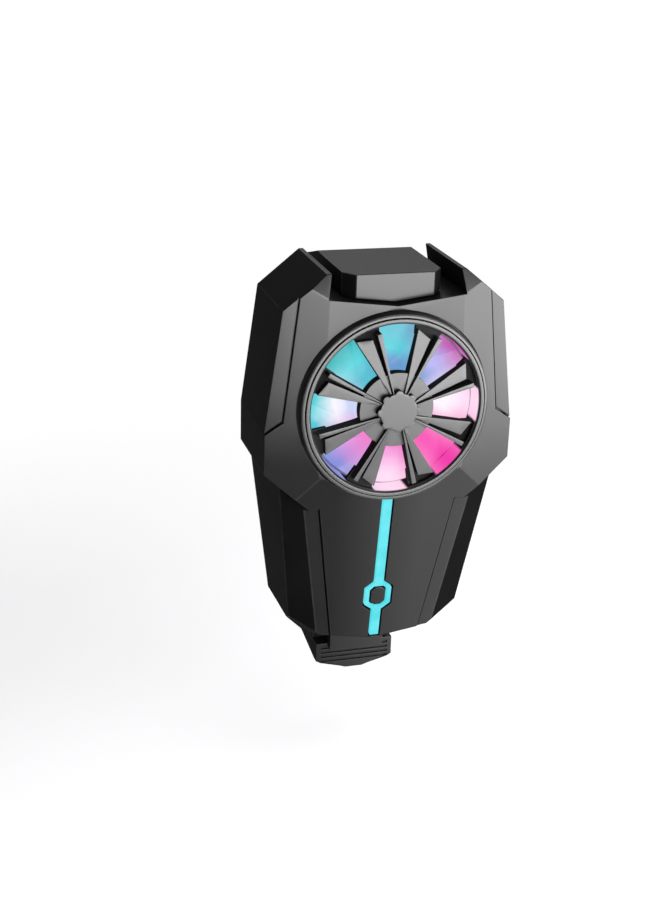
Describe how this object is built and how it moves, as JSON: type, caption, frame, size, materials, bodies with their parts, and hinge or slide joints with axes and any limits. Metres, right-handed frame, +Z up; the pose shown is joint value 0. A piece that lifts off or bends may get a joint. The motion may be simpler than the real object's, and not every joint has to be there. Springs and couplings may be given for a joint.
{
  "type": "clip-on phone cooling fan",
  "caption": "Faceted black clip-on cooler with a raised turbine grille over a lit fan, a glowing strip, a fixed upper hook and a sprung sliding lower jaw that grips a phone.",
  "frame": {"origin": "Where the fan axis meets the plane of the phone's back, on the face of the round pad", "axes": "+X to the right seen from the front, +Y from the front towards the phone, +Z up towards the hook"},
  "size_m": [0.0474, 0.038, 0.0883],
  "materials": {
    "body_plastic": "fine satin texture",
    "grille_plastic": "satin",
    "clamp_plastic": "fine satin texture",
    "clear_plastic": "frosted",
    "lit_plastic": "translucent, lit from behind",
    "strip_plastic": "frosted, lit from behind",
    "steel": "plain",
    "socket_steel": "drawn shell",
    "magnet": "bonded ferrite",
    "brass": "sintered",
    "copper": "enamelled copper wire",
    "board": "green solder mask",
    "led": "light chips",
    "rubber": "matt"
  },
  "bodies": {
    "body": {"front_cover": "body_plastic", "fan_grille": "grille_plastic", "light_duct": "clear_plastic", "bearing_bush": "brass", "stator_core": "steel", "stator_windings": "copper", "motor_board": "board", "rgb_leds": "led", "rear_cover": "body_plastic", "seat_pads": "rubber", "power_board": "board", "power_socket": "socket_steel", "light_strip": "strip_plastic", "strip_board": "board", "strip_leds": "led", "upper_hook": "clamp_plastic", "hook_lining": "rubber", "hook_screws": "steel", "guide_rods": "steel", "jaw_springs": "steel", "case_screws": "steel"},
    "rotor": {"fan_blades": "lit_plastic", "rotor_yoke": "steel", "magnet_ring": "magnet", "fan_shaft": "steel", "shaft_clip": "steel"},
    "jaw": {"lower_jaw": "clamp_plastic", "jaw_lining": "rubber"}
  },
  "joints": [
    {"name": "fan_spin", "type": "hinge", "parent": "body", "child": "rotor", "pos_m": [0, -0.015, 0], "axis": [0, 1, 0], "continuous": true},
    {"name": "jaw_slide", "type": "slide", "parent": "body", "child": "jaw", "axis": [0, 0, -1], "range_m": [0, 0.0185], "stiffness_N_per_m": 250, "springref_m": -0.008, "deforming": ["jaw_springs"]}
  ]
}
